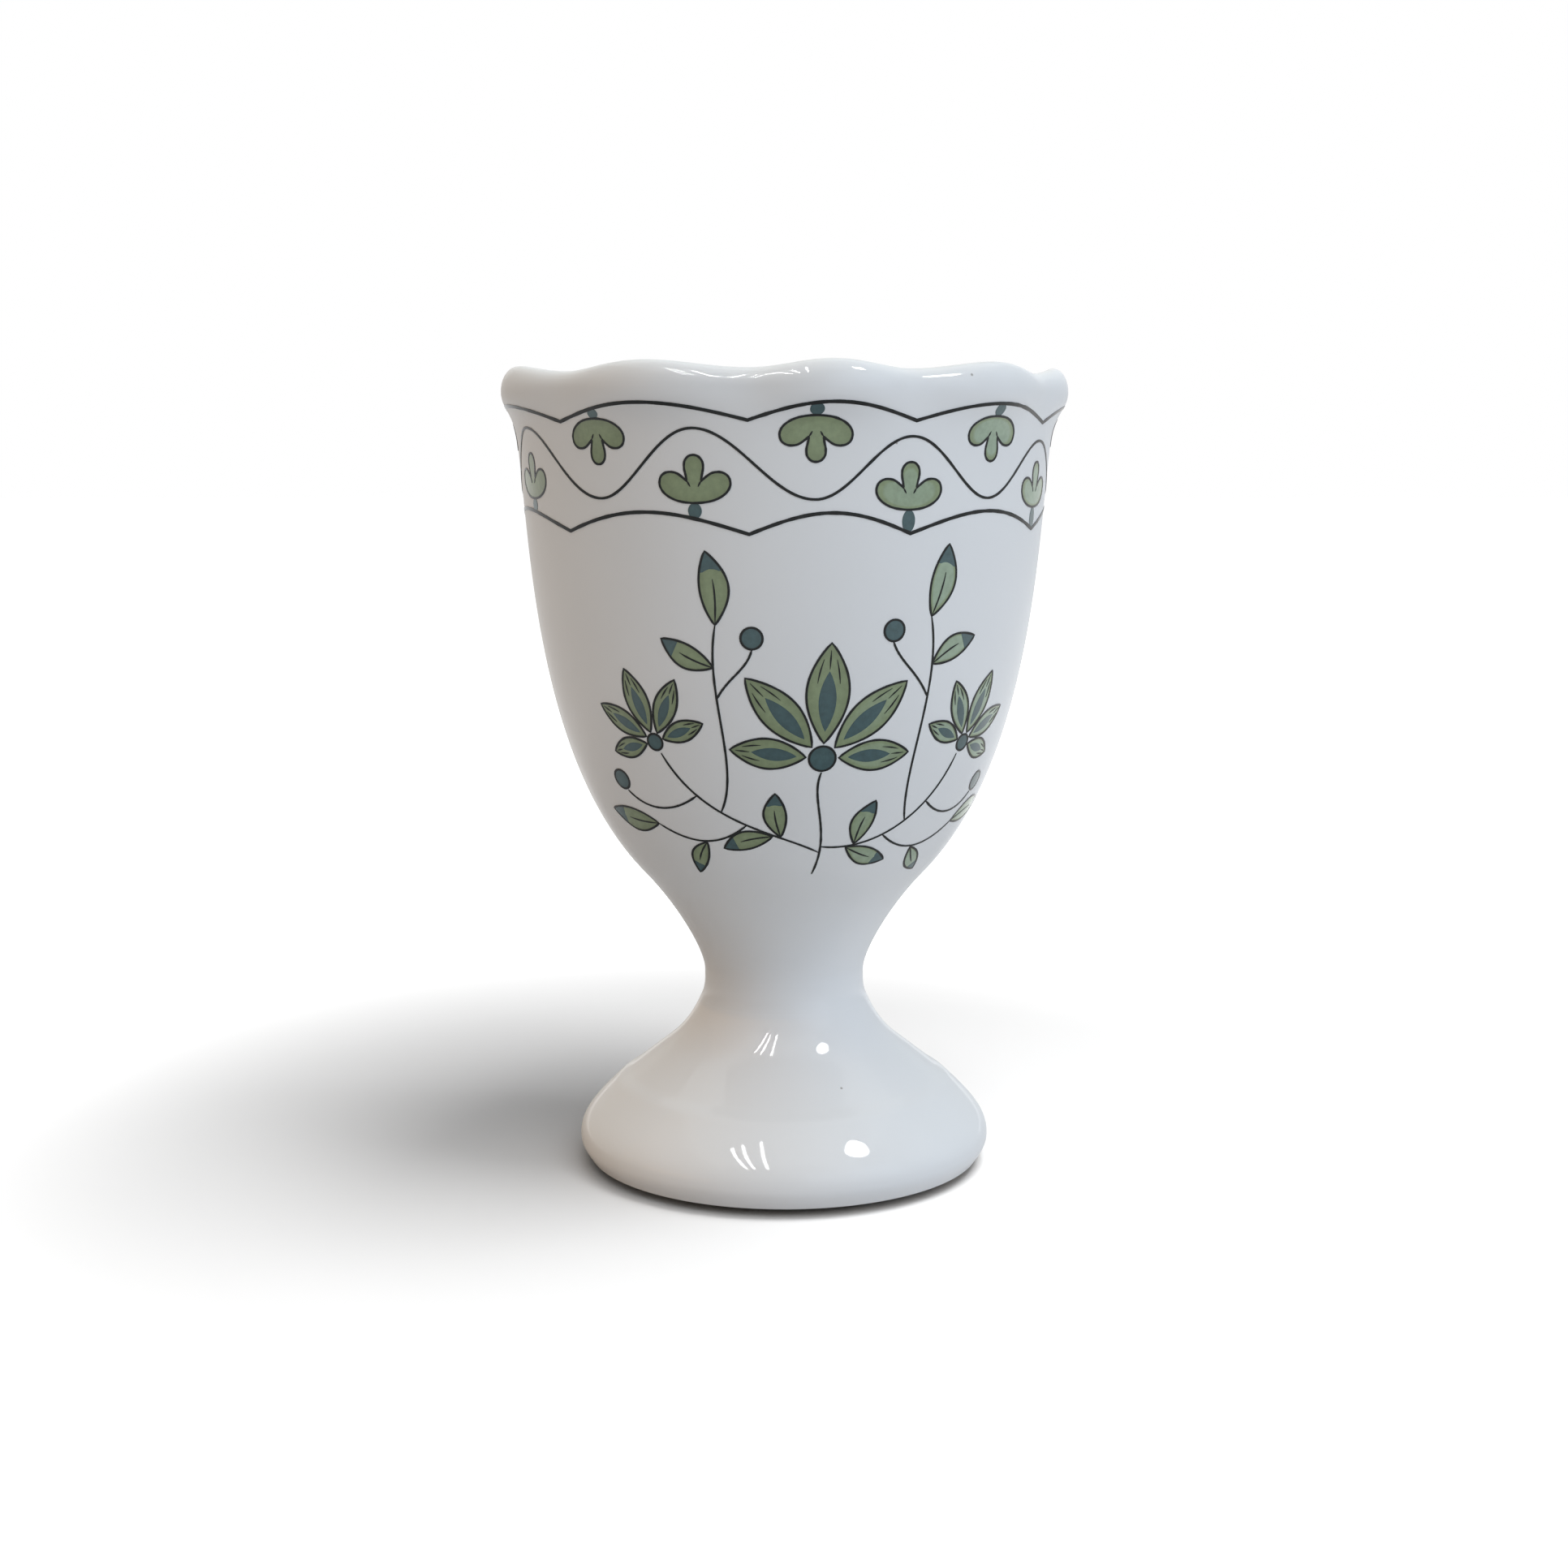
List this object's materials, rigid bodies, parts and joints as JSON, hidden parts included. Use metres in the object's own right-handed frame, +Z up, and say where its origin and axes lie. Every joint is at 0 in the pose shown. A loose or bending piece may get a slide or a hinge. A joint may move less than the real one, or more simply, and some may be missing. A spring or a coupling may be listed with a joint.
{
  "type": "egg cup",
  "caption": "Footed porcelain egg cup: a deep rounded bowl with a lobed lip on a short stem and a flared hollow foot, with a printed border under the lip and a printed spray.",
  "frame": {"origin": "on the resting plane, under the middle of the cup", "axes": "+Z up out of the bowl's mouth, -Y towards the front with the spray, +X to the right as seen from the front"},
  "size_m": [0.0469, 0.0468, 0.068],
  "materials": {
    "porcelain": "clear gloss glaze over white porcelain",
    "slip": "fired slip under the glaze",
    "black_enamel": "fired black print, gloss",
    "green_enamel": "fired light green print, gloss",
    "teal_enamel": "fired dark teal print, gloss"
  },
  "bodies": {
    "root": {"bowl": "porcelain", "foot": "porcelain", "slip_joint": "slip", "border_outline": "black_enamel", "border_leaves": "green_enamel", "border_buds": "teal_enamel", "spray_outline": "black_enamel", "spray_leaves": "green_enamel", "spray_accents": "teal_enamel"}
  },
  "joints": []
}
